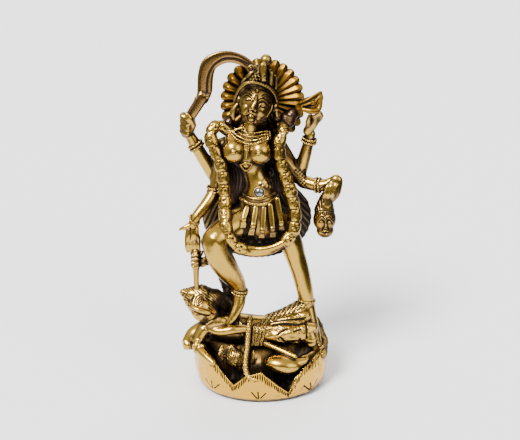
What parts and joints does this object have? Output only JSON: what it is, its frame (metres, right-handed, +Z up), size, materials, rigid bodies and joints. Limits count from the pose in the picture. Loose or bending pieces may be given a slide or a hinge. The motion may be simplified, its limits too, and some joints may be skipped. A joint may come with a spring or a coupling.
{
  "type": "kali statue",
  "caption": "Cast brass figure of a four-armed goddess dancing on a reclining god, on an oval rock base, with a round glass stone set in the belly.",
  "frame": {"origin": "middle of the base's flat underside, on the surface that the statue stands on", "axes": "+Z up, -Y out of the statue's front, +X to the right of someone who faces it"},
  "size_m": [0.1183, 0.0859, 0.2517],
  "materials": {
    "antique_brass": "antiqued cast brass, polished high points and dark brown patina in the recesses",
    "foiled_glass": "clear glass cabochon over silver foil"
  },
  "bodies": {
    "root": {"kali_statue": "antique_brass", "navel_stone": "foiled_glass"}
  },
  "joints": []
}
